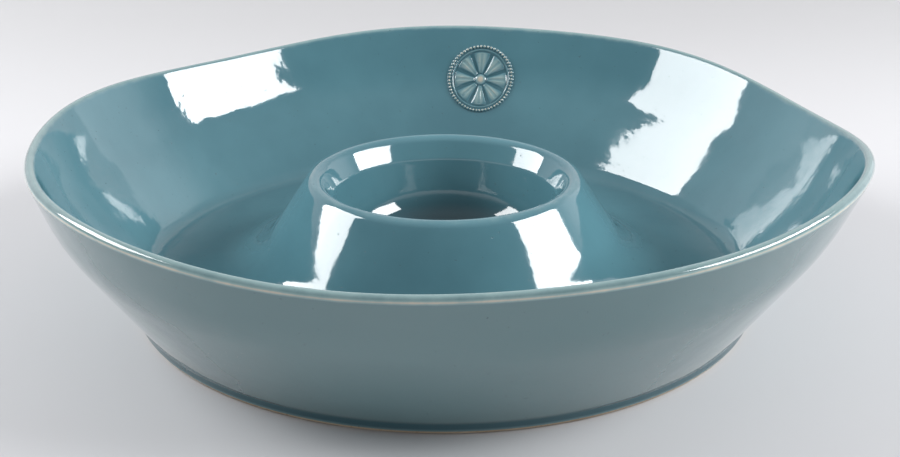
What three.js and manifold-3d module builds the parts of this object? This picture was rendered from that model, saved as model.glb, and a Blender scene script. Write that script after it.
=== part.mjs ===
import * as THREE from "three";
import Module from "manifold-3d";

// Chip and dip platter in glazed stoneware: a wide flared dish with a raised
// dip well in its middle. +Z is up and the foot ring rests on z = 0.
// All lengths are millimetres of the finished ware, all angles are degrees.

// Dish: floor, flared wall and rolled rim.
const RIM_RADIUS = 177.5;
const RIM_HEIGHT = 74.9;
const RIM_THICKNESS = 4.4;
const FLOOR_RADIUS = 134.5;
const FLOOR_THICKNESS = 8;
const UNDER_HEIGHT = 3.5;
const FLOOR_FILLET = 12;
const HEEL_ROUND = 2.5;
const WALL_BEND = 52;
const WALL_BULGE = 4;
const WALL_CURVE = 80;

// The rim rises and dips in soft lobes, and leans a little towards +X.
const RIM_WAVES = [
  { lobes: 1, height: 1, crest: 68 },
  { lobes: 2, height: 0.6, crest: -73 },
  { lobes: 3, height: 2.7, crest: -40 },
  { lobes: 4, height: 1, crest: -27 },
  { lobes: 5, height: 0.3, crest: -29 },
  { lobes: 6, height: 1, crest: -18.5 },
];
const RIM_DRIFT = 1.2;

// Dip well: cup, flared lip and the flank that runs out into the floor.
const LIP_RADIUS = 57.5;
const LIP_HEIGHT = 52;
const LIP_ROUND = 4.5;
const FLARE_RADIUS = 53.3;
const FLARE_HEIGHT = 41;
const FLARE_ROUND = 5;
const CUP_FLOOR_RADIUS = 47.5;
const CUP_FILLET = 22;
const FLANK_RADIUS = 85;
const FLANK_FILLET = 30;
const FLANK_UNDER_ROUND = 18;
const GROOVE_ROUND = 2.5;
const WELL_SEAM_RADIUS = 112;

// Foot ring, bare on its resting face.
const FOOT_WIDTH = 9;
const FOOT_STEP = 0.2;
const FOOT_CHAMFER = 1;
const FOOT_BARE = 1.3;

// Sprigged rosette, high on the inside of the wall.
const SPRIG_RADIUS = 19;
const SPRIG_ANGLE = 83;
const SPRIG_DROP = 26;
const SPRIG_THICKNESS = 1.1;
const SPRIG_RELIEF = 0.9;
const SPRIG_PETALS = 8;

// Glaze coats, and the thin bond between any two pieces.
const GLAZE_THICKNESS = 0.6;
const BOND_GAP = 0.3;
const COAT = GLAZE_THICKNESS + BOND_GAP;

// Fineness of the round shapes.
const SEGMENTS = 40;
const SPRIG_RINGS = 8;

// Most of the shorter leg of a corner that its round may take.
const ROUND_SHARE = 0.6;

const radians = THREE.MathUtils.degToRad;

// Middle surface of the clay from seam to rim. Each corner has the finished
// half thickness there and its round on the food side and underneath.
const floorMiddle = UNDER_HEIGHT + FLOOR_THICKNESS / 2;
const floorTop = UNDER_HEIGHT + FLOOR_THICKNESS;
const floorCorner = new THREE.Vector2(FLOOR_RADIUS, floorMiddle);
const rimCentre = new THREE.Vector2(
  RIM_RADIUS - RIM_THICKNESS / 2,
  RIM_HEIGHT - RIM_THICKNESS / 2,
);
const wallRun = rimCentre.clone().sub(floorCorner);
const bendShare = (WALL_BEND - floorMiddle) / wallRun.y;
const wallMiddle = floorCorner.clone().addScaledVector(wallRun, bendShare);
wallMiddle.x += (WALL_BULGE * wallRun.y) / wallRun.length();
wallMiddle.y -= (WALL_BULGE * wallRun.x) / wallRun.length();
const wallHalf = THREE.MathUtils.lerp(FLOOR_THICKNESS, RIM_THICKNESS, bendShare) / 2;

function corner(r, z, half, food, under, steps) {
  return { at: new THREE.Vector2(r, z), half, food, under, steps };
}

const floorHalf = FLOOR_THICKNESS / 2;
const dishCorners = [
  corner(WELL_SEAM_RADIUS + BOND_GAP / 2, floorMiddle, floorHalf, 0, 0, 0),
  corner(FLOOR_RADIUS, floorMiddle, floorHalf, FLOOR_FILLET, HEEL_ROUND, 3),
  corner(wallMiddle.x, wallMiddle.y, wallHalf, WALL_CURVE, WALL_CURVE, 3),
  corner(rimCentre.x, rimCentre.y, RIM_THICKNESS / 2, 0, 0, 0),
];

// Middle surface of the well from the axis over the lip to the seam.
const flare = corner(FLARE_RADIUS, FLARE_HEIGHT, floorHalf, FLARE_ROUND, 0, 2);
const wellCorners = [
  corner(0, floorMiddle, floorHalf, 0, 0, 0),
  corner(CUP_FLOOR_RADIUS, floorMiddle, floorHalf, CUP_FILLET, HEEL_ROUND, 3),
  flare,
  corner(LIP_RADIUS, LIP_HEIGHT - LIP_ROUND, LIP_ROUND, LIP_ROUND, GROOVE_ROUND, 5),
  corner(FLANK_RADIUS, floorMiddle, floorHalf, FLANK_FILLET, FLANK_UNDER_ROUND, 4),
  corner(WELL_SEAM_RADIUS - BOND_GAP / 2, floorMiddle, floorHalf, 0, 0, 0),
];

// Underneath, the wall of the cup runs straight up into the groove.
const wellUnderCorners = wellCorners.filter((bend) => bend !== flare);

function cross(a, b) {
  return a.x * b.y - a.y * b.x;
}

// Point where the line through a along u meets the line through b along v.
function meet(a, u, b, v) {
  const reach = cross(b.clone().sub(a), v) / cross(u, v);
  return a.clone().addScaledVector(u, reach);
}

// Corner points of one face: side is 1 for the food side and -1 underneath,
// depth is how far the face lies below the finished surface.
function faceCorners(corners, side, depth) {
  const lines = corners.slice(1).map((end, i) => {
    const start = corners[i];
    const along = end.at.clone().sub(start.at).normalize();
    const out = new THREE.Vector2(-along.y, along.x).multiplyScalar(side);
    const from = start.at.clone().addScaledVector(out, start.half - depth);
    const to = end.at.clone().addScaledVector(out, end.half - depth);
    return { from, to, along: to.clone().sub(from).normalize() };
  });
  const inner = lines.slice(1).map((line, i) => {
    return meet(lines[i].from, lines[i].along, line.from, line.along);
  });
  return [lines[0].from, ...inner, lines[lines.length - 1].to];
}

// Points of one face with its corners rounded.
function facePoints(corners, side, depth) {
  const sharp = faceCorners(corners, side, depth);
  const points = [sharp[0]];
  for (let i = 1; i < sharp.length - 1; i += 1) {
    const into = sharp[i].clone().sub(sharp[i - 1]);
    const away = sharp[i + 1].clone().sub(sharp[i]);
    const room = ROUND_SHARE * Math.min(into.length(), away.length());
    into.normalize();
    away.normalize();
    const turn = Math.atan2(cross(into, away), into.dot(away));
    const hollow = turn * side > 0 ? 1 : -1;
    const asked = side > 0 ? corners[i].food : corners[i].under;
    const half = Math.tan(Math.abs(turn) / 2);
    const radius = Math.max(0.2, Math.min(asked + hollow * depth, room / half));
    const normal = new THREE.Vector2(-into.y, into.x).multiplyScalar(Math.sign(turn));
    const centre = sharp[i].clone().addScaledVector(into, -radius * half);
    centre.addScaledVector(normal, radius);
    const spoke = normal.clone().multiplyScalar(-radius);
    for (let k = 0; k <= corners[i].steps; k += 1) {
      const swing = (turn * k) / corners[i].steps;
      points.push(spoke.clone().rotateAround(new THREE.Vector2(), swing).add(centre));
    }
  }
  points.push(sharp[sharp.length - 1]);
  return points;
}

// Arc over the rolled rim, from one angle to another off the wall's line.
function rimArc(depth, from, to, steps) {
  const lean = Math.atan2(rimCentre.y - wallMiddle.y, rimCentre.x - wallMiddle.x);
  const radius = RIM_THICKNESS / 2 - depth;
  return Array.from({ length: steps + 1 }, (_, k) => {
    const angle = lean + from + ((to - from) * k) / steps;
    const spoke = new THREE.Vector2(Math.cos(angle), Math.sin(angle));
    return rimCentre.clone().addScaledVector(spoke, radius);
  });
}

// Spinning a closed outline about +Z; place() sets each point in space.
function revolve(outline, place) {
  const loop = THREE.ShapeUtils.area(outline) < 0 ? [...outline].reverse() : outline;
  const positions = [];
  const rings = loop.map((point) => {
    const start = positions.length / 3;
    const count = point.x < 1e-6 ? 1 : SEGMENTS;
    for (let i = 0; i < count; i += 1) {
      positions.push(...place(point.x, (2 * Math.PI * i) / SEGMENTS, point.y));
    }
    return { start, count };
  });
  const index = [];
  rings.forEach((low, k) => {
    const high = rings[(k + 1) % rings.length];
    for (let i = 0; i < SEGMENTS; i += 1) {
      const next = (i + 1) % SEGMENTS;
      const lowHere = low.start + (i % low.count);
      const lowNext = low.start + (next % low.count);
      const highHere = high.start + (i % high.count);
      const highNext = high.start + (next % high.count);
      if (low.count > 1) index.push(lowHere, lowNext, highHere);
      if (high.count > 1) index.push(lowNext, highNext, highHere);
    }
  });
  return solid(positions, index);
}

function solid(positions, index) {
  const geometry = new THREE.BufferGeometry();
  geometry.setAttribute("position", new THREE.Float32BufferAttribute(positions, 3));
  geometry.setIndex(index);
  geometry.computeVertexNormals();
  return geometry;
}

function level(r, angle, z) {
  return [r * Math.cos(angle), r * Math.sin(angle), z];
}

// The lobed rim: the wall is drawn up or down along its own slope.
function lobed(r, angle, z) {
  const share = THREE.MathUtils.clamp((z - floorTop) / (RIM_HEIGHT - floorTop), 0, 1) ** 2;
  const rise = RIM_WAVES.reduce((sum, wave) => {
    return sum + wave.height * Math.cos(wave.lobes * (angle - radians(wave.crest)));
  }, 0);
  const reach = r + (share * rise * wallRun.x) / wallRun.y;
  const x = reach * Math.cos(angle) + share * RIM_DRIFT;
  return [x, reach * Math.sin(angle), z + share * rise];
}

// Clay of the dish.
const quarter = Math.PI / 2;
const dishOutline = [
  ...facePoints(dishCorners, -1, COAT).slice(0, -1),
  ...rimArc(COAT, -quarter, quarter, 4),
  ...facePoints(dishCorners, 1, COAT).slice(0, -1).reverse(),
];
const dishBody = revolve(dishOutline, lobed);

// Clay of the dip well, hollow underneath, as two simple solids: the cup with
// its lip, and the flank. They meet from below the lip to the groove's top.
const wellFood = facePoints(wellCorners, 1, COAT);
const wellUnder = facePoints(wellUnderCorners, -1, COAT);

// Number of points on a face up to the end of one corner's round.
function pointsTo(corners, last) {
  return corners.slice(1, last + 1).reduce((sum, bend) => sum + bend.steps + 1, 1);
}

const lipEnd = pointsTo(wellCorners, 3);
const grooveTop = (pointsTo(wellUnderCorners, 1) + pointsTo(wellUnderCorners, 2)) / 2;
const lute = wellFood[lipEnd].clone().sub(wellFood[lipEnd - 1]).setLength(Math.SQRT2 * BOND_GAP);
const cupOutline = [
  ...wellUnder.slice(0, grooveTop),
  ...wellFood.slice(0, lipEnd).reverse(),
];
const cupBody = revolve(cupOutline, level);
const flankOutline = [
  ...wellUnder.slice(grooveTop),
  ...wellFood.slice(lipEnd).reverse(),
  wellFood[lipEnd - 1].clone().add(lute),
];
const flankBody = revolve(flankOutline, level);

// Foot ring below the heel of the dish.
const footOuter = faceCorners(dishCorners, -1, COAT)[1].x + FOOT_STEP;
const footInner = footOuter - FOOT_WIDTH;
const footTop = UNDER_HEIGHT + COAT - BOND_GAP;
const footOutline = [
  new THREE.Vector2(footInner + FOOT_CHAMFER, 0),
  new THREE.Vector2(footOuter - FOOT_CHAMFER, 0),
  new THREE.Vector2(footOuter, FOOT_CHAMFER),
  new THREE.Vector2(footOuter, footTop),
  new THREE.Vector2(footInner, footTop),
  new THREE.Vector2(footInner, FOOT_CHAMFER),
];
const footRing = revolve(footOutline, level);

// A round patch laid on the inside of the wall: sole and top are heights off
// the clay, top may change with the place on the patch.
const clayWall = facePoints(dishCorners, 1, COAT);

function onWall(drop, angle, height) {
  let left = drop;
  let k = clayWall.length - 1;
  while (k > 1 && left > clayWall[k].distanceTo(clayWall[k - 1])) {
    left -= clayWall[k].distanceTo(clayWall[k - 1]);
    k -= 1;
  }
  const down = clayWall[k - 1].clone().sub(clayWall[k]).normalize();
  const point = clayWall[k].clone().addScaledVector(down, left);
  point.addScaledVector(new THREE.Vector2(down.y, -down.x), height);
  return lobed(point.x, angle, point.y);
}

const sprigWallRadius = RIM_RADIUS - SPRIG_DROP * (wallRun.x / wallRun.length());

function wallPatch(radius, sole, top) {
  const positions = [];
  const index = [];
  const lay = (share, turn, height) => {
    const aside = radius * share * Math.cos(turn);
    const up = radius * share * Math.sin(turn);
    const angle = radians(SPRIG_ANGLE) - aside / sprigWallRadius;
    positions.push(...onWall(SPRIG_DROP - up, angle, height));
  };
  lay(0, 0, top(0, 0));
  lay(0, 0, sole);
  for (let ring = 1; ring <= SPRIG_RINGS; ring += 1) {
    for (let i = 0; i < SEGMENTS; i += 1) {
      const share = ring / SPRIG_RINGS;
      const turn = (2 * Math.PI * i) / SEGMENTS;
      lay(share, turn, top(share, turn));
      lay(share, turn, sole);
    }
  }
  const spot = (ring, i, low) => {
    return ring === 0 ? low : 2 + 2 * ((ring - 1) * SEGMENTS + (i % SEGMENTS)) + low;
  };
  for (let i = 0; i < SEGMENTS; i += 1) {
    index.push(0, spot(1, i, 0), spot(1, i + 1, 0));
    index.push(1, spot(1, i + 1, 1), spot(1, i, 1));
    for (let ring = 1; ring < SPRIG_RINGS; ring += 1) {
      const far = ring + 1;
      index.push(spot(ring, i, 0), spot(far, i, 0), spot(far, i + 1, 0));
      index.push(spot(ring, i, 0), spot(far, i + 1, 0), spot(ring, i + 1, 0));
      index.push(spot(ring, i, 1), spot(far, i + 1, 1), spot(far, i, 1));
      index.push(spot(ring, i, 1), spot(ring, i + 1, 1), spot(far, i + 1, 1));
    }
    const last = SPRIG_RINGS;
    index.push(spot(last, i, 0), spot(last, i, 1), spot(last, i + 1, 1));
    index.push(spot(last, i, 0), spot(last, i + 1, 1), spot(last, i + 1, 0));
  }
  return solid(positions, index);
}

// Rosette: a plain raised border, rounded petals and a button.
const facetSag = RIM_RADIUS * (1 - Math.cos(Math.PI / SEGMENTS));
const sprigSole = BOND_GAP + facetSag;

function rosette(share, turn) {
  const border = Math.max(0, 1 - Math.abs(share - 0.9) / 0.1);
  const button = share < 0.15 ? 1 : 0;
  const along = Math.max(0, 1 - ((share - 0.5) / 0.28) ** 2);
  const petal = along * Math.abs(Math.cos((SPRIG_PETALS * turn) / 2));
  return sprigSole + SPRIG_THICKNESS + SPRIG_RELIEF * Math.max(border, button, petal);
}

const sprig = wallPatch(SPRIG_RADIUS, sprigSole, rosette);

// Glaze on the inside of the dish, left open round the sprig.
const split = BOND_GAP / (RIM_THICKNESS - 2 * GLAZE_THICKNESS);
const linerOutline = [
  ...facePoints(dishCorners, 1, GLAZE_THICKNESS).slice(0, -1),
  ...rimArc(GLAZE_THICKNESS, quarter, split, 3),
  ...rimArc(0, split, quarter, 3),
  ...facePoints(dishCorners, 1, 0).slice(0, -1).reverse(),
];
const wasm = await Module();
wasm.setup();

function toManifold(geometry) {
  return new wasm.Manifold(new wasm.Mesh({
    numProp: 3,
    vertProperties: new Float32Array(geometry.getAttribute("position").array),
    triVerts: new Uint32Array(geometry.getIndex().array),
  }));
}

const sprigRoom = wallPatch(SPRIG_RADIUS + BOND_GAP, -COAT, () => 4 * COAT);
const openLiner = toManifold(revolve(linerOutline, lobed)).subtract(toManifold(sprigRoom)).getMesh();
const linerGlaze = solid(Array.from(openLiner.vertProperties), Array.from(openLiner.triVerts));

// Glaze outside: over the rim, down the wall and over the foot ring's side.
function outerRun(depth) {
  const wall = facePoints(dishCorners, -1, depth);
  const sharp = faceCorners(dishCorners, -1, depth);
  const down = sharp[1].clone().sub(sharp[2]);
  const side = new THREE.Vector2(footOuter + COAT - depth, FOOT_BARE);
  const crease = meet(sharp[2], down, side, new THREE.Vector2(0, 1));
  const keep = wall.filter((point) => point.y > crease.y && point.x > side.x);
  keep.pop();
  return [side, crease, ...keep, ...rimArc(depth, -quarter, -split, 3)];
}

const outerOutline = [...outerRun(0), ...outerRun(GLAZE_THICKNESS).reverse()];
const outerGlaze = revolve(outerOutline, lobed);

// Glaze over the dip well.
const wellGlazeOutline = [
  ...facePoints(wellCorners, 1, GLAZE_THICKNESS),
  ...facePoints(wellCorners, 1, 0).reverse(),
];
const wellGlaze = revolve(wellGlazeOutline, level);

// Glaze underneath, from the axis through the groove to the foot ring.
const underCorners = [
  ...wellUnderCorners.slice(0, -1),
  corner(footInner - BOND_GAP, floorMiddle, floorHalf, 0, 0, 0),
];
const underOutline = [
  ...facePoints(underCorners, -1, 0),
  ...facePoints(underCorners, -1, GLAZE_THICKNESS).reverse(),
];
const underGlaze = revolve(underOutline, level);

function material(color, roughness) {
  return new THREE.MeshStandardMaterial({ color, roughness, metalness: 0 });
}

const clay = material("#c9b596", 0.85);
const teal = material("#2c6670", 0.15);
const paleTeal = material("#5f8f8e", 0.25);

const group = new THREE.Group();
group.name = "chip_and_dip_platter";

function add(name, geometry, look) {
  const mesh = new THREE.Mesh(geometry, look);
  mesh.name = name;
  group.add(mesh);
}

add("dish_body", dishBody, clay);
add("dip_cup_body", cupBody, clay);
add("well_flank_body", flankBody, clay);
add("foot_ring", footRing, clay);
add("rosette_sprig", sprig, paleTeal);
add("dish_liner_glaze", linerGlaze, teal);
add("dish_outer_glaze", outerGlaze, teal);
add("dip_well_glaze", wellGlaze, teal);
add("underside_glaze", underGlaze, teal);

export default group;
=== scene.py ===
import math

import bpy
import numpy as np
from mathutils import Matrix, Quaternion, Vector


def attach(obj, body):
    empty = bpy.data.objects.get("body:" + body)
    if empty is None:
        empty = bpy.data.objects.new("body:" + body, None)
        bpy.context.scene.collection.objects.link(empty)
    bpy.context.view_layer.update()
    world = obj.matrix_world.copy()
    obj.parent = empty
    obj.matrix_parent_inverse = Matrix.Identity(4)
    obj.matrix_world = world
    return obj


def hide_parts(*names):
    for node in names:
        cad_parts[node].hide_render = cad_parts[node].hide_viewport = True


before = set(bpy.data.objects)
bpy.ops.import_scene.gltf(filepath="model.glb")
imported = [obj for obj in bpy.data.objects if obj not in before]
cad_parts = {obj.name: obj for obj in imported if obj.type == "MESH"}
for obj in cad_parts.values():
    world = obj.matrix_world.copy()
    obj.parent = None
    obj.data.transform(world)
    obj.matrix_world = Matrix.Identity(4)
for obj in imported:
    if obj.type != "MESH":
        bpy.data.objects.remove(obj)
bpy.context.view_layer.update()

# FOOT RING
# A low ring of bare buff stoneware under the heel of the dish, fired in one
# with it. The platter stands on its flat face, which takes no glaze.
FOOT_OUTER = 0.1363
FOOT_INNER = 0.1273
FOOT_TOP = 0.0043
FOOT_ROUND = 0.0009
FOOT_SEAM = 0.004
FOOT_ROUND_STEPS = 5
FOOT_PITCH = 0.002
FOOT_SPOKES = 240
WHEEL_RADIUS = 0.1
SAME_POINT = 1e-7
WELD_GAP = 1e-6

CLAY = (0.42, 0.34, 0.25, 1.0)
CLAY_DARK = (0.26, 0.19, 0.12, 1.0)
CLAY_ROUGHNESS = 0.82
GROG_DEPTH = 0.00012


def cross(a, b):
    """Cross product of two flat vectors."""
    return a[0] * b[1] - a[1] * b[0]


def fillet(corners, steps):
    """Outline through the corners (x, y, round), each round drawn as an arc."""
    points = [np.array(corners[0][:2])]
    for before, here, after in zip(corners, corners[1:], corners[2:]):
        spot = np.array(here[:2])
        into = spot - np.array(before[:2])
        away = np.array(after[:2]) - spot
        into /= np.linalg.norm(into)
        away /= np.linalg.norm(away)
        turn = math.atan2(cross(into, away), into @ away)
        left = np.array([-into[1], into[0]]) * math.copysign(1.0, turn)
        centre = spot - into * here[2] * math.tan(abs(turn) / 2) + left * here[2]
        spoke = -left * here[2]
        square = np.array([-spoke[1], spoke[0]])
        for k in range(steps + 1):
            angle = turn * k / steps
            points.append(centre + (spoke * math.cos(angle) + square * math.sin(angle)))
    points.append(np.array(corners[-1][:2]))
    return np.array(points)


def even(points, pitch):
    """The same outline with points at most one pitch apart."""
    out = [points[0]]
    for a, b in zip(points, points[1:]):
        count = max(1, math.ceil(np.linalg.norm(b - a) / pitch))
        out.extend(a + (b - a) * k / count for k in range(1, count + 1))
    keep = [b for a, b in zip(out, out[1:]) if np.linalg.norm(b - a) > SAME_POINT]
    return np.array([out[0]] + keep)


def finish_tree(tree, geometry, source):
    """Closes a tree with smooth faces, Realize Instances and Set Material."""
    smooth = tree.nodes.new("GeometryNodeSetShadeSmooth")
    real = tree.nodes.new("GeometryNodeRealizeInstances")
    coat = tree.nodes.new("GeometryNodeSetMaterial")
    end = tree.nodes.new("NodeGroupOutput")
    tree.links.new(geometry, smooth.inputs["Geometry"])
    tree.links.new(smooth.outputs["Geometry"], real.inputs["Geometry"])
    tree.links.new(real.outputs["Geometry"], coat.inputs["Geometry"])
    tree.links.new(source.outputs["Material"], coat.inputs["Material"])
    tree.links.new(coat.outputs["Geometry"], end.inputs["Geometry"])


def new_tree(name, inputs):
    """An empty geometry tree with named inputs, as (tree, its input node)."""
    tree = bpy.data.node_groups.new(name, "GeometryNodeTree")
    tree.interface.new_socket("Geometry", in_out="INPUT", socket_type="NodeSocketGeometry")
    for label, kind in inputs:
        tree.interface.new_socket(label, in_out="INPUT", socket_type=kind)
    tree.interface.new_socket("Material", in_out="INPUT", socket_type="NodeSocketMaterial")
    tree.interface.new_socket("Geometry", in_out="OUTPUT", socket_type="NodeSocketGeometry")
    return tree, tree.nodes.new("NodeGroupInput")


# Throwing on the wheel: an outline in X and Y is spun about the upright axis.
thrown, given = new_tree("thrown on the wheel", [
    ("Spokes", "NodeSocketInt"), ("Radius", "NodeSocketFloat"),
])
wheel = thrown.nodes.new("GeometryNodeCurvePrimitiveCircle")
upright = thrown.nodes.new("GeometryNodeSetCurveNormal")
outline = thrown.nodes.new("GeometryNodeMeshToCurve")
spun = thrown.nodes.new("GeometryNodeCurveToMesh")
joined = thrown.nodes.new("GeometryNodeMergeByDistance")
upright.mode = "Z_UP"
joined.inputs["Distance"].default_value = WELD_GAP
thrown.links.new(given.outputs["Spokes"], wheel.inputs["Resolution"])
thrown.links.new(given.outputs["Radius"], wheel.inputs["Radius"])
thrown.links.new(wheel.outputs["Curve"], upright.inputs["Curve"])
thrown.links.new(given.outputs["Geometry"], outline.inputs["Mesh"])
thrown.links.new(upright.outputs["Curve"], spun.inputs["Curve"])
thrown.links.new(outline.outputs["Curve"], spun.inputs["Profile Curve"])
thrown.links.new(spun.outputs["Mesh"], joined.inputs["Geometry"])
finish_tree(thrown, joined.outputs["Geometry"], given)


def set_out(name, data):
    """A new object in the scene, at the origin."""
    item = bpy.data.objects.new(name, data)
    bpy.context.collection.objects.link(item)
    return item


def mark(mesh, label, values):
    """Keeps one number for each point of a mesh, for its glaze to read."""
    layer = mesh.attributes.new(label, "FLOAT", "POINT")
    layer.data.foreach_set("value", values.astype(np.float32))


def shape(piece, tree, material, **sizes):
    """Runs a tree on a piece and keeps the result as its plain mesh."""
    work = piece.modifiers.new(tree.name, "NODES")
    work.node_group = tree
    for item in tree.interface.items_tree:
        if item.in_out == "INPUT" and item.name in sizes:
            work[item.identifier] = sizes[item.name]
        if item.in_out == "INPUT" and item.name == "Material":
            work[item.identifier] = material
    graph = bpy.context.evaluated_depsgraph_get()
    made = bpy.data.meshes.new_from_object(piece.evaluated_get(graph))
    piece.modifiers.remove(work)
    piece.data = made
    made.name = piece.name


def throw(name, chains, material, spokes):
    """A round piece from outlines of (r, z, thin, inside) points."""
    points = []
    edges = []
    for chain in chains:
        edges.extend((len(points) + k, len(points) + k + 1) for k in range(len(chain) - 1))
        points.extend(chain)
    points = np.array(points)
    mesh = bpy.data.meshes.new(name)
    flat = [(r - WHEEL_RADIUS, -z, 0.0) for r, z in points[:, :2]]
    mesh.from_pydata(flat, edges, [])
    mark(mesh, "thinness_and_painted_light", points[:, 2])
    mark(mesh, "inside", points[:, 3])
    piece = set_out(name, mesh)
    shape(piece, thrown, material, Spokes=spokes, Radius=WHEEL_RADIUS)
    return piece


def node_material(name):
    """A node material, as (material, tree, its shader)."""
    material = bpy.data.materials.new(name)
    material.use_nodes = True
    tree = material.node_tree
    return material, tree, tree.nodes["Principled BSDF"]


def noise(tree, scale, detail, rough=0.5):
    """Noise on the piece's own coordinates."""
    where = tree.nodes.new("ShaderNodeTexCoord")
    field = tree.nodes.new("ShaderNodeTexNoise")
    field.inputs["Scale"].default_value = scale
    field.inputs["Detail"].default_value = detail
    field.inputs["Roughness"].default_value = rough
    tree.links.new(where.outputs["Object"], field.inputs["Vector"])
    return field.outputs["Fac"]


def ramp(tree, value, low, high, out_low=0.0, out_high=1.0):
    """A soft step of a value from one range to another."""
    node = tree.nodes.new("ShaderNodeMapRange")
    node.interpolation_type = "SMOOTHSTEP"
    node.inputs["From Min"].default_value = low
    node.inputs["From Max"].default_value = high
    node.inputs["To Min"].default_value = out_low
    node.inputs["To Max"].default_value = out_high
    tree.links.new(value, node.inputs["Value"])
    return node.outputs["Result"]


def blend_colour(tree, share, a, b):
    """Colour a turning into colour b by a share."""
    node = tree.nodes.new("ShaderNodeMix")
    node.data_type = "RGBA"
    tree.links.new(share, node.inputs[0])
    for socket, value in ((node.inputs[6], a), (node.inputs[7], b)):
        if isinstance(value, tuple):
            socket.default_value = value
        else:
            tree.links.new(value, socket)
    return node.outputs[2]


def bump(tree, height, depth, under=None):
    """A bump of the given depth in metres, on top of another if there is one."""
    node = tree.nodes.new("ShaderNodeBump")
    node.inputs["Strength"].default_value = 1.0
    node.inputs["Distance"].default_value = depth
    tree.links.new(height, node.inputs["Height"])
    if under is not None:
        tree.links.new(under, node.inputs["Normal"])
    return node.outputs["Normal"]


bare_clay, tree, shader = node_material("bare stoneware")
grog = noise(tree, scale=900.0, detail=3.0, rough=0.6)
toast = noise(tree, scale=45.0, detail=2.0)
tone = blend_colour(tree, ramp(tree, grog, low=0.56, high=0.72), CLAY, CLAY_DARK)
toasted = ramp(tree, toast, low=0.35, high=0.75, out_high=0.55)
tone = blend_colour(tree, toasted, tone, CLAY_DARK)
tree.links.new(tone, shader.inputs["Base Color"])
tree.links.new(bump(tree, grog, GROG_DEPTH), shader.inputs["Normal"])
shader.inputs["Roughness"].default_value = CLAY_ROUGHNESS

# The outline starts and ends on top of the ring, where the dish hides the seam.
ring = fillet([
    (FOOT_INNER + FOOT_SEAM, FOOT_TOP, 0.0), (FOOT_OUTER, FOOT_TOP, FOOT_ROUND / 2),
    (FOOT_OUTER, 0.0, FOOT_ROUND), (FOOT_INNER, 0.0, FOOT_ROUND),
    (FOOT_INNER, FOOT_TOP, FOOT_ROUND / 2), (FOOT_INNER + FOOT_SEAM, FOOT_TOP, 0.0),
], FOOT_ROUND_STEPS)
ring_points = [(r, z, 0.0, 0.0) for r, z in even(ring, FOOT_PITCH)]
foot = throw("foot_ring_bare", [ring_points], bare_clay, FOOT_SPOKES)
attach(foot, "root")
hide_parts("foot_ring")

# DISH
# A wide stoneware dish with a level floor, a flared wall and a rolled rim that
# rises and dips in soft lobes. One gloss blue-green glaze covers it to the foot.
RIM_RADIUS = 0.1771
RIM_HEIGHT = 0.0747
RIM_HALF = 0.0022
FLOOR_RADIUS = 0.1345
FLOOR_HALF = 0.004
FLOOR_MIDDLE = 0.0075
FLOOR_FILLET = 0.012
HEEL_ROUND = 0.0004
WALL_BEND = 0.052
WALL_BULGE = 0.004
WALL_CURVE = 0.08
SEAM_RADIUS = 0.112
ROUND_STEPS = 14
ROLL_POINTS = 21
DISH_PITCH = 0.0022
DISH_SPOKES = 288

# The rim's lobes, each as (lobes round the rim, height, degrees to a crest), and
# how far the rim stands off to the right.
RIM_WAVES = (
    (1, 0.001, 68.0), (2, 0.0006, -73.0), (3, 0.0027, -40.0),
    (4, 0.001, -27.0), (5, 0.0003, -29.0), (6, 0.001, -18.5),
)
RIM_DRIFT = 0.0012

# The lower edge of the coat, which turns in over the outside of the foot.
GLAZE_COAT = 0.0009
GLAZE_END = 0.0013
GLAZE_END_ROUND = 0.0007
GLAZE_LAP = 0.001
CREASE_ROUND = 0.0012
CREASE_REACH = 0.0015
HEEL_STEPS = 6
HEEL_PITCH = 0.001

# How thin the coat is, from below zero in a pool to above one where it breaks:
# thin on the rim's crest and outer brow and at the lower edge, pooled at the heel.
# The pale crest is partly a painted highlight, and the heel pool is partly
# painted shade where the wall comes down to the table.
CREST_SIDE = -0.1
CREST_THIN_AND_SHEEN = 0.68
CREST_WIDTH = 0.0024
BROW_TURN = 1.1
BROW_THIN = 0.85
BROW_WIDTH = 0.0008
HEM_THIN = 1.3
HEM_RISE = 0.0002
HEM_WIDTH = 0.0006
# Painted shade: the heel pool darkens the foot of the outer wall, partly as pooled glaze.
HEEL_POOL_AND_SHADE_TOP = 0.0065
HEEL_POOL_AND_SHADE_FADE = 0.0028
THIN_LEAST = -1.0
THIN_MOST = 1.2

# How many points of the outline past the wall still have the inside's colour.
INSIDE_OVER_RIM = 8

GLAZE_DEEP = (0.077, 0.187, 0.226, 1.0)
GLAZE_CLOUD = (0.095, 0.225, 0.267, 1.0)
GLAZE_OUTSIDE = (0.112, 0.196, 0.210, 1.0)
# The pale thin colour is partly thin glaze and partly a painted highlight, brightened for the rim.
GLAZE_THIN_AND_SHEEN = (0.23, 0.34, 0.345, 1.0)
# The pooled colour is partly thick glaze and partly painted shade in the cup and at the heel.
GLAZE_POOLED_AND_SHADE = (0.024, 0.076, 0.096, 1.0)
GLAZE_BROKEN = (0.50, 0.46, 0.38, 1.0)
GLAZE_SPECK = (0.02, 0.05, 0.06, 1.0)
GLAZE_GLOSS = {"IOR": 1.5, "Coat Weight": 0.5, "Coat Roughness": 0.03, "Coat IOR": 1.5}
GLAZE_FRAY = 0.5
PEEL_DEPTH = 0.00007
WAVE_DEPTH = 0.00045
SPECK_DEPTH = 0.00008


def calc(tree, operation, *values):
    """One Math node; numbers are set on its sockets and sockets are linked."""
    node = tree.nodes.new("ShaderNodeMath")
    node.operation = operation
    for socket, value in zip(node.inputs, values):
        if isinstance(value, (int, float)):
            socket.default_value = value
        else:
            tree.links.new(value, socket)
    return node.outputs[0]


def reading(tree, label):
    """The number that a mesh keeps for each of its points."""
    node = tree.nodes.new("ShaderNodeAttribute")
    node.attribute_name = label
    return node.outputs["Fac"]


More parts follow.
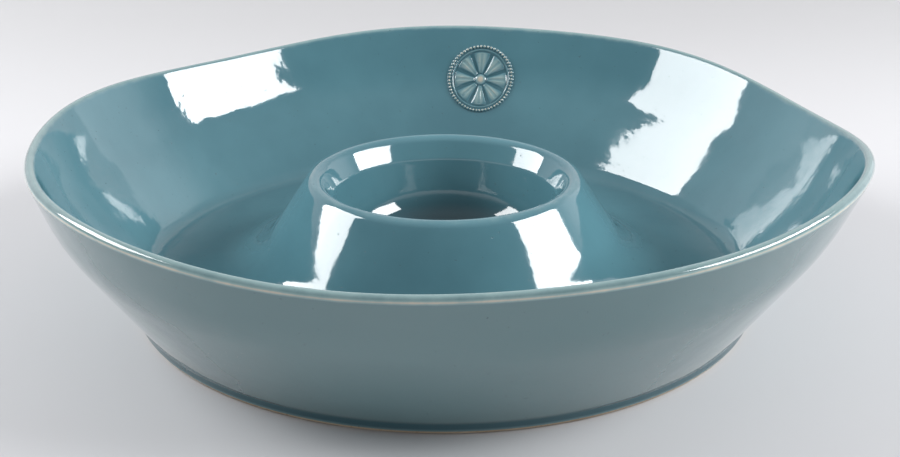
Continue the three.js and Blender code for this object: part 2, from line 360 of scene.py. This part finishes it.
def glaze_material(name):
    """Gloss glaze: cloudy where it is thick, pale and tan where it breaks, darker in pools; the
    pale is partly a painted highlight and the pools partly painted shade.
    """
    material, tree, shader = node_material(name)
    cloud = noise(tree, scale=14.0, detail=4.0, rough=0.55)
    body = blend_colour(tree, ramp(tree, cloud, low=0.3, high=0.7), GLAZE_DEEP, GLAZE_CLOUD)
    food_side = ramp(tree, reading(tree, "inside"), low=0.0, high=1.0)
    body = blend_colour(tree, food_side, GLAZE_OUTSIDE, body)
    thinness_and_light = reading(tree, "thinness_and_painted_light")
    # Pools darken the colour, partly thick glaze and partly painted shade.
    pooled_and_shade = ramp(tree, thinness_and_light, low=THIN_LEAST, high=0.0, out_low=1.0, out_high=0.0)
    body = blend_colour(tree, pooled_and_shade, body, GLAZE_POOLED_AND_SHADE)
    ragged = noise(tree, scale=120.0, detail=4.0, rough=0.6)
    # Thin places turn pale and then tan; the pale is partly a painted highlight.
    fray = calc(tree, "MULTIPLY", calc(tree, "SUBTRACT", ragged, 0.5), GLAZE_FRAY)
    worn_and_sheen = calc(tree, "ADD", thinness_and_light, fray)
    worn_and_sheen = calc(tree, "MULTIPLY", worn_and_sheen, ramp(tree, thinness_and_light, low=0.02, high=0.25))
    body = blend_colour(tree, ramp(tree, worn_and_sheen, low=0.15, high=0.75), body, GLAZE_THIN_AND_SHEEN)
    body = blend_colour(tree, ramp(tree, worn_and_sheen, low=0.72, high=1.05), body, GLAZE_BROKEN)
    speck = noise(tree, scale=700.0, detail=2.0, rough=0.5)
    specks = ramp(tree, speck, low=0.735, high=0.77, out_high=0.5)
    body = blend_colour(tree, specks, body, GLAZE_SPECK)
    tree.links.new(body, shader.inputs["Base Color"])
    polish = ramp(tree, cloud, low=0.3, high=0.7, out_low=0.05, out_high=0.09)
    tree.links.new(polish, shader.inputs["Roughness"])
    peel = bump(tree, noise(tree, scale=130.0, detail=2.0, rough=0.5), PEEL_DEPTH)
    waves = bump(tree, noise(tree, scale=38.0, detail=1.0, rough=0.4), WAVE_DEPTH, peel)
    pits = ramp(tree, speck, low=0.735, high=0.78, out_low=1.0, out_high=0.0)
    skin = bump(tree, pits, SPECK_DEPTH, waves)
    tree.links.new(skin, shader.inputs["Normal"])
    tree.links.new(skin, shader.inputs["Coat Normal"])
    for label, value in GLAZE_GLOSS.items():
        shader.inputs[label].default_value = value
    return material


glaze = glaze_material("blue-green glaze")


def faces(corners, steps, pitch):
    """Food side and underside of a clay wall from its middle line's corners.

    A corner is (r, z, half thickness, round on the food side, round below)."""
    result = []
    for side, pick in ((1.0, 3), (-1.0, 4)):
        lines = []
        for a, b in zip(corners, corners[1:]):
            start, end = np.array(a[:2]), np.array(b[:2])
            along = (end - start) / np.linalg.norm(end - start)
            out = side * np.array([-along[1], along[0]])
            lines.append((start + out * a[2], end + out * b[2]))
        sharp = [(*lines[0][0], 0.0)]
        for (start, end), (onset, finish), here in zip(lines, lines[1:], corners[1:]):
            along, onward = end - start, finish - onset
            reach = cross(onset - start, onward) / cross(along, onward)
            sharp.append((*(start + along * reach), here[pick]))
        sharp.append((*lines[-1][1], 0.0))
        result.append((even(fillet(sharp, steps), pitch), sharp))
    return result


floor_corner = np.array([FLOOR_RADIUS, FLOOR_MIDDLE])
rim_centre = np.array([RIM_RADIUS - RIM_HALF, RIM_HEIGHT - RIM_HALF])
wall_run = rim_centre - floor_corner
wall_out = np.array([wall_run[1], -wall_run[0]]) / np.linalg.norm(wall_run)
bend_share = (WALL_BEND - FLOOR_MIDDLE) / wall_run[1]
wall_middle = floor_corner + wall_run * bend_share + wall_out * WALL_BULGE
wall_half = FLOOR_HALF + (RIM_HALF - FLOOR_HALF) * bend_share
(dish_food, _), (dish_under, under_sharp) = faces([
    (SEAM_RADIUS, FLOOR_MIDDLE, FLOOR_HALF, 0.0, 0.0),
    (FLOOR_RADIUS, FLOOR_MIDDLE, FLOOR_HALF, FLOOR_FILLET, HEEL_ROUND),
    (*wall_middle, wall_half, WALL_CURVE, WALL_CURVE),
    (*rim_centre, RIM_HALF, 0.0, 0.0),
], ROUND_STEPS, DISH_PITCH)
lean = math.atan2(*(rim_centre - wall_middle)[::-1])


def on_roll(turn):
    """A point on the roll of the rim, by its turn from the slope of the wall."""
    return rim_centre + RIM_HALF * np.array([math.cos(lean + turn), math.sin(lean + turn)])


roll = [on_roll(turn) for turn in np.linspace(math.pi / 2, -math.pi / 2, ROLL_POINTS)]
low, high = np.array(under_sharp[1][:2]), np.array(under_sharp[2][:2])
side_radius = FOOT_OUTER + GLAZE_COAT
crease = low + (high - low) * (side_radius - low[0]) / (high[0] - low[0])
wall_end = crease[1] + CREASE_REACH
outer_wall = [p for p in dish_under[::-1] if p[1] > wall_end and p[0] > side_radius]
heel = even(fillet([
    (*outer_wall[-1], 0.0), (*crease, CREASE_ROUND),
    (side_radius, GLAZE_END, GLAZE_END_ROUND), (FOOT_OUTER - GLAZE_LAP, GLAZE_END, 0.0),
], HEEL_STEPS), HEEL_PITCH)
dish_line = even(np.concatenate([dish_food[:-1], roll, outer_wall[1:-1], heel]), DISH_PITCH)


def near(points, spot, width):
    """1 at a spot, fading away from it over a width."""
    return np.exp(-(np.linalg.norm(points - spot, axis=1) / width) ** 2)


crest = rim_centre + np.array([CREST_SIDE, 1.0]) * RIM_HALF
brow = on_roll(-BROW_TURN)
hem = np.array([side_radius, GLAZE_END + HEM_RISE])
# The crest's pale band is partly thin glaze and partly a painted highlight.
thinness_and_painted_light = CREST_THIN_AND_SHEEN * near(dish_line, crest, CREST_WIDTH)
thinness_and_painted_light += BROW_THIN * near(dish_line, brow, BROW_WIDTH)
# Painted shade: the outer wall darkens towards its foot, partly as pooled glaze.
thinness_and_painted_light -= np.clip((HEEL_POOL_AND_SHADE_TOP - dish_line[:, 1]) / HEEL_POOL_AND_SHADE_FADE, 0, 1)
thinness_and_painted_light += HEM_THIN * near(dish_line, hem, HEM_WIDTH)
thinness_and_painted_light = np.clip(thinness_and_painted_light, THIN_LEAST, THIN_MOST)
inside = (np.arange(len(dish_line)) < len(dish_food) + INSIDE_OVER_RIM).astype(float)
dish_chain = np.column_stack([dish_line, thinness_and_painted_light, inside])
under_height = FLOOR_MIDDLE - FLOOR_HALF
under_ends = [(FOOT_INNER + GLAZE_LAP, under_height), (SEAM_RADIUS, under_height)]
under_line = even(np.array(under_ends), DISH_PITCH)
under_chain = np.column_stack([under_line, np.zeros((len(under_line), 2))])
dish = throw("glazed_dish", [dish_chain, under_chain], glaze, DISH_SPOKES)

# The rim's lobes: the wall is drawn up or down along its own slope.
lobe_inputs = ["Floor height", "Rim height", "Slope", "Drift"]
for count, _, _ in RIM_WAVES:
    lobe_inputs += [f"Lobe height {count}", f"Lobe crest {count}"]
lobes, given = new_tree("lobed rim", [(label, "NodeSocketFloat") for label in lobe_inputs])
place = lobes.nodes.new("GeometryNodeInputPosition")
apart = lobes.nodes.new("ShaderNodeSeparateXYZ")
moved = lobes.nodes.new("ShaderNodeCombineXYZ")
drawn = lobes.nodes.new("GeometryNodeSetPosition")
lobes.links.new(place.outputs["Position"], apart.inputs["Vector"])
x, y, z = apart.outputs
angle = calc(lobes, "ARCTAN2", y, x)
above = calc(lobes, "SUBTRACT", z, given.outputs["Floor height"])
full = calc(lobes, "SUBTRACT", given.outputs["Rim height"], given.outputs["Floor height"])
share = calc(lobes, "DIVIDE", above, full)
share = calc(lobes, "MINIMUM", calc(lobes, "MAXIMUM", share, 0.0), 1.0)
share = calc(lobes, "MULTIPLY", share, share)
rise = None
for count, _, _ in RIM_WAVES:
    turned = calc(lobes, "SUBTRACT", angle, given.outputs[f"Lobe crest {count}"])
    swing = calc(lobes, "COSINE", calc(lobes, "MULTIPLY", turned, float(count)))
    part = calc(lobes, "MULTIPLY", swing, given.outputs[f"Lobe height {count}"])
    rise = part if rise is None else calc(lobes, "ADD", rise, part)
rise = calc(lobes, "MULTIPLY", rise, share)
reach = calc(lobes, "MULTIPLY", rise, given.outputs["Slope"])
flare = calc(lobes, "MULTIPLY", reach, calc(lobes, "COSINE", angle))
drift = calc(lobes, "MULTIPLY", share, given.outputs["Drift"])
lobes.links.new(calc(lobes, "ADD", flare, drift), moved.inputs["X"])
lobes.links.new(calc(lobes, "MULTIPLY", reach, calc(lobes, "SINE", angle)), moved.inputs["Y"])
lobes.links.new(rise, moved.inputs["Z"])
lobes.links.new(given.outputs["Geometry"], drawn.inputs["Geometry"])
lobes.links.new(moved.outputs["Vector"], drawn.inputs["Offset"])
finish_tree(lobes, drawn.outputs["Geometry"], given)

lobe_sizes = {
    "Floor height": FLOOR_MIDDLE + FLOOR_HALF, "Rim height": RIM_HEIGHT,
    "Slope": float(wall_run[0] / wall_run[1]), "Drift": RIM_DRIFT,
}
for count, height, at in RIM_WAVES:
    lobe_sizes[f"Lobe height {count}"] = height
    lobe_sizes[f"Lobe crest {count}"] = math.radians(at)
shape(dish, lobes, glaze, **lobe_sizes)
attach(dish, "root")
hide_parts("dish_body", "dish_liner_glaze", "dish_outer_glaze")

# DIP WELL
# A cup with a rounded, flared lip on a steep flank that runs out into the
# floor in one sweep. Stoneware, in one with the dish, hollow below and glazed.
LIP_RADIUS = 0.0575
LIP_HEIGHT = 0.052
LIP_ROUND = 0.0045
FLARE_RADIUS = 0.0533
FLARE_HEIGHT = 0.041
FLARE_ROUND = 0.005
CUP_FLOOR_RADIUS = 0.0475
CUP_FILLET = 0.022
FLANK_RADIUS = 0.085
FLANK_FILLET = 0.030
HOLLOW_ROUND = 0.0025
HOLLOW_SWEEP = 0.018
WELL_PITCH = 0.0018
WELL_SPOKES = 240
LIP_THIN = 0.28
LIP_THIN_WIDTH = 0.003
LIP_THIN_OUT = 0.0015
# How far up the cup its painted shade reaches, partly as pooled glaze.
CUP_POOL_AND_SHADE_TOP = 0.032
CUP_POOL_AND_SHADE_FADE = 0.018

cup_bends = [
    (0.0, FLOOR_MIDDLE, FLOOR_HALF, 0.0, 0.0),
    (CUP_FLOOR_RADIUS, FLOOR_MIDDLE, FLOOR_HALF, CUP_FILLET, HOLLOW_ROUND),
]
flare_bend = (FLARE_RADIUS, FLARE_HEIGHT, FLOOR_HALF, FLARE_ROUND, 0.0)
flank_bends = [
    (LIP_RADIUS, LIP_HEIGHT - LIP_ROUND, LIP_ROUND, LIP_ROUND, HOLLOW_ROUND),
    (FLANK_RADIUS, FLOOR_MIDDLE, FLOOR_HALF, FLANK_FILLET, HOLLOW_SWEEP),
    (SEAM_RADIUS, FLOOR_MIDDLE, FLOOR_HALF, 0.0, 0.0),
]
# Only the cup's own side flares; the hollow below runs straight past the flare.
(well_food, _), _ = faces(cup_bends + [flare_bend] + flank_bends, ROUND_STEPS, WELL_PITCH)
_, (well_under, _) = faces(cup_bends + flank_bends, ROUND_STEPS, WELL_PITCH)
lip_top = np.array([LIP_RADIUS + LIP_THIN_OUT, LIP_HEIGHT])
thinness_and_painted_light = LIP_THIN * near(well_food, lip_top, LIP_THIN_WIDTH)
# Painted shade: the cup darkens towards its bottom, partly as pooled glaze.
in_cup = well_food[:, 0] < CUP_FLOOR_RADIUS
thinness_and_painted_light -= in_cup * np.clip((CUP_POOL_AND_SHADE_TOP - well_food[:, 1]) / CUP_POOL_AND_SHADE_FADE, 0, 1)
well_chain = np.column_stack([well_food, thinness_and_painted_light, np.ones(len(well_food))])
hollow_chain = np.column_stack([well_under[::-1], np.zeros((len(well_under), 2))])
well = throw("glazed_dip_well", [well_chain, hollow_chain], glaze, WELL_SPOKES)
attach(well, "root")
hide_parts("dip_cup_body", "well_flank_body", "dip_well_glaze", "underside_glaze")

# ROSETTE
# A small round clay relief on the inside of the wall: a beaded border, rounded
# petals and a button in the middle, under the same glaze as the dish.
SPRIG_RADIUS = 0.019
SPRIG_ANGLE = math.radians(83.0)
SPRIG_DROP = 0.026
SPRIG_BASE = 0.0002
SPRIG_BED = 0.0004
SPRIG_RELIEF = 0.0011
SPRIG_PETALS = 8
SPRIG_BEADS = 60
SPRIG_RINGS = 80
SPRIG_SPOKES = 600
SLOPE_STEP = 0.001

# The ornament: rings, radii and widths are shares of the sprig's radius, and
# heights and depths are shares of its relief.
BEAD_RING = 0.915
BEAD_RADIUS = 0.043
LINE_RING = 0.82
LINE_WIDTH = 0.022
LINE_HEIGHT = 0.55
BUTTON_RADIUS = 0.155
PETAL_MIDDLE = 0.47
PETAL_REACH = 0.29
PETAL_GAP = 0.22
PETAL_TAPER = 0.25
PETAL_SPREAD = 0.6
PETAL_FULLNESS = 0.6
PETAL_HEIGHT = 0.92
VEIN_WIDTH = 0.026
VEIN_DEPTH = 0.25
VEIN_END = 0.25
SKIRT_WIDTH = 0.06

# The coat is thin and pale on the raised parts, the pale partly a painted highlight, and pools on
# the ground between them.
RELIEF_THIN = 1.05
RELIEF_THIN_POWER = 1.5
GROUND_POOL = 0.5
GROUND_HEIGHT = 0.08
GROUND_EDGE = 0.97

rings_out = np.linspace(0, 1, SPRIG_RINGS + 1)[1:]
spokes_round = np.arange(SPRIG_SPOKES) * 2 * math.pi / SPRIG_SPOKES
out, turn = np.meshgrid(rings_out, spokes_round, indexing="ij")
out = np.concatenate([[0.0], out.ravel()])
turn = np.concatenate([[0.0], turn.ravel()])

beads = (turn * SPRIG_BEADS / (2 * math.pi)) % 1.0 - 0.5
beads = np.hypot(out - BEAD_RING, beads * 2 * math.pi * BEAD_RING / SPRIG_BEADS)
beads = np.sqrt(np.clip(1 - (beads / BEAD_RADIUS) ** 2, 0, 1))
line = LINE_HEIGHT * np.exp(-((out - LINE_RING) / LINE_WIDTH) ** 2)
button = np.sqrt(np.clip(1 - (out / BUTTON_RADIUS) ** 2, 0, 1))
leaf = np.abs(np.cos(turn * SPRIG_PETALS / 2))
length = np.clip(1 - ((out - PETAL_MIDDLE) / PETAL_REACH) ** 2, 0, 1)
width = (leaf - PETAL_GAP - PETAL_TAPER * (1 - out)) / PETAL_SPREAD
petal = np.clip(np.sqrt(length) * width, 0, 1) ** PETAL_FULLNESS
vein = np.exp(-((1 - leaf) * out / VEIN_WIDTH) ** 2) * (length > VEIN_END)
petal *= PETAL_HEIGHT - VEIN_DEPTH * vein
relief = np.maximum.reduce([beads, line, button, petal])
skirt = np.sqrt(np.clip((1 - out) / SKIRT_WIDTH, 0, 1))
lift = (SPRIG_BED + SPRIG_BASE) * skirt - SPRIG_BED + SPRIG_RELIEF * relief

wall_down = dish_food[::-1]
step = np.linalg.norm(np.diff(wall_down, axis=0), axis=1)
fall = np.concatenate([[0.0], np.cumsum(step)])


def on_wall(drop):
    """Radius and height on the inside of the wall, a way down from the rim."""
    return np.array([np.interp(drop, fall, wall_down[:, k]) for k in (0, 1)])


drop = SPRIG_DROP - out * SPRIG_RADIUS * np.sin(turn)
aside = out * SPRIG_RADIUS * np.cos(turn)
slope = on_wall(drop + SLOPE_STEP) - on_wall(drop - SLOPE_STEP)
slope /= np.hypot(*slope)
r, z = on_wall(drop) + lift * np.array([slope[1], -slope[0]])
bearing = SPRIG_ANGLE - aside / on_wall(SPRIG_DROP)[0]
spots = np.column_stack([r * np.cos(bearing), r * np.sin(bearing), z])
cells = [(0, 1 + i, 1 + (i + 1) % SPRIG_SPOKES) for i in range(SPRIG_SPOKES)]
for k in range(SPRIG_RINGS - 1):
    a, b = 1 + k * SPRIG_SPOKES, 1 + (k + 1) * SPRIG_SPOKES
    for i in range(SPRIG_SPOKES):
        j = (i + 1) % SPRIG_SPOKES
        cells.append((a + i, b + i, b + j, a + j))
mesh = bpy.data.meshes.new("rosette")
mesh.from_pydata(spots.tolist(), [], cells)
ground = (relief < GROUND_HEIGHT) * (out < GROUND_EDGE)
mark(mesh, "thinness_and_painted_light", RELIEF_THIN * relief ** RELIEF_THIN_POWER - GROUND_POOL * ground)
mark(mesh, "inside", np.ones(len(spots)))
rosette = set_out("rosette_sprig_glazed", mesh)
shape(rosette, lobes, glaze, **lobe_sizes)
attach(rosette, "root")
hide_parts("rosette_sprig")

# TABLE
# A plain matt studio table in pale grey that sweeps up into a backdrop. It lies
# a hair below the foot, and its colour is painted a little darker behind the
# platter, a painted shade that dims the back of the table and the backdrop.
TABLE = (0.61, 0.61, 0.63, 1.0)
TABLE_GRAIN = (0.635, 0.635, 0.65, 1.0)
TABLE_FAR_SHADE = (0.53, 0.53, 0.54, 1.0)
TABLE_FAR_START = 0.1
TABLE_FAR_END = 0.6
TABLE_ROUGHNESS = 0.6
TABLE_HALF = 4.0
TABLE_BACK = 1.0
TABLE_TOP = -0.0001
SWEEP_HALF = 1.0
SWEEP_BACK = 1.5
SWEEP_ROUND = 0.5
SWEEP_HEIGHT = 2.2
SWEEP_STEPS = 16

paper, tree, shader = node_material("pale table")
grain = noise(tree, scale=3.0, detail=3.0)
near_tone = blend_colour(tree, grain, TABLE, TABLE_GRAIN)
where = tree.nodes.new("ShaderNodeTexCoord")
apart = tree.nodes.new("ShaderNodeSeparateXYZ")
tree.links.new(where.outputs["Object"], apart.inputs["Vector"])
# Painted shade: the table and backdrop darken towards the back.
far_shade = ramp(tree, apart.outputs["Y"], low=TABLE_FAR_START, high=TABLE_FAR_END)
tree.links.new(blend_colour(tree, far_shade, near_tone, TABLE_FAR_SHADE), shader.inputs["Base Color"])
shader.inputs["Roughness"].default_value = TABLE_ROUGHNESS

sweep = fillet([
    (TABLE_BACK, 0.0, 0.0), (SWEEP_BACK, 0.0, SWEEP_ROUND), (SWEEP_BACK, SWEEP_HEIGHT, 0.0),
], SWEEP_STEPS)
spots = [(x, y, TABLE_TOP) for y in (-TABLE_HALF, TABLE_BACK) for x in (-TABLE_HALF, TABLE_HALF)]
spots += [(x, y, z + TABLE_TOP) for y, z in sweep for x in (-SWEEP_HALF, SWEEP_HALF)]
cells = [(0, 1, 3, 2)]
cells += [(2 * k, 2 * k + 1, 2 * k + 3, 2 * k + 2) for k in range(2, len(sweep) + 1)]
mesh = bpy.data.meshes.new("table")
mesh.from_pydata(spots, [], cells)
mesh.materials.append(paper)
mesh.shade_smooth()
table = set_out("table", mesh)

# LIGHT
# Two softboxes, one on either side of the platter, in a plain room. The room is
# pale low down in front and behind, and dark at the sides and above the camera.
ROOM_DARK = (0.11, 0.114, 0.122, 1.0)
ROOM_FRONT = (0.90, 0.90, 0.92, 1.0)
ROOM_CEILING = (0.42, 0.42, 0.43, 1.0)
ROOM_LEFT = (0.75, 0.76, 0.79, 1.0)
ROOM_RIGHT = (1.10, 1.12, 1.16, 1.0)
CEILING_TILT = 0.45
LIGHT_AIM = (0.0, 0.0, 0.04)

world = bpy.data.worlds.new("studio")
world.use_nodes = True
tree = world.node_tree
room = tree.nodes.new("ShaderNodeTexCoord")
apart = tree.nodes.new("ShaderNodeSeparateXYZ")
tree.links.new(room.outputs["Generated"], apart.inputs["Vector"])
across, back, up = apart.outputs
higher = calc(tree, "ADD", up, calc(tree, "MULTIPLY", back, CEILING_TILT))
sky = blend_colour(tree, ramp(tree, higher, low=0.3, high=0.85), ROOM_DARK, ROOM_CEILING)
sides = blend_colour(tree, ramp(tree, across, low=-0.4, high=0.4), ROOM_LEFT, ROOM_RIGHT)
behind = ramp(tree, back, low=0.1, high=0.5)
low_down = ramp(tree, up, low=0.4, high=0.65, out_low=1.0, out_high=0.0)
low_back = calc(tree, "MULTIPLY", behind, low_down)
in_front = ramp(tree, back, low=-0.35, high=0.0, out_low=1.0, out_high=0.0)
low_down = ramp(tree, up, low=0.3, high=0.45, out_low=1.0, out_high=0.0)
low_front = calc(tree, "MULTIPLY", in_front, low_down)
sky = blend_colour(tree, low_front, sky, ROOM_FRONT)
sky = blend_colour(tree, low_back, sky, sides)
tree.links.new(sky, tree.nodes["Background"].inputs["Color"])
bpy.context.scene.world = world


def softbox(name, at, roll, width, height, power):
    """A softbox that faces the platter, rolled about its own axis in degrees."""
    lamp = bpy.data.lights.new(name, "AREA")
    lamp.shape = "RECTANGLE"
    lamp.size = width
    lamp.size_y = height
    lamp.energy = power
    box = set_out(name, lamp)
    facing = (Vector(LIGHT_AIM) - Vector(at)).to_track_quat("-Z", "Y")
    box.rotation_euler = (facing @ Quaternion((0.0, 0.0, 1.0), math.radians(roll))).to_euler()
    box.location = at


softbox("left softbox", at=(-1.32, 0.257, 0.90), roll=12.0, width=0.94, height=0.74, power=25.0)
softbox("right softbox", at=(1.36, -0.107, 0.876), roll=-12.0, width=1.06, height=0.56, power=29.0)

# CAMERA
# It stands in front of the platter and a little above it, and looks down at
# the angle of the photograph.
CAMERA_PLACE = (0.0, -0.5445, 0.2415)
CAMERA_DOWN = 21.61
CAMERA_TURN = -0.26
LENS_LENGTH = 52.0
SENSOR_WIDTH = 36.0

lens = bpy.data.cameras.new("camera")
lens.sensor_width = SENSOR_WIDTH
lens.lens = LENS_LENGTH
camera = set_out("camera", lens)
camera.location = CAMERA_PLACE
camera.rotation_euler = (math.radians(90.0 - CAMERA_DOWN), 0.0, math.radians(CAMERA_TURN))
bpy.context.scene.camera = camera
bpy.context.scene.view_settings.view_transform = "Standard"
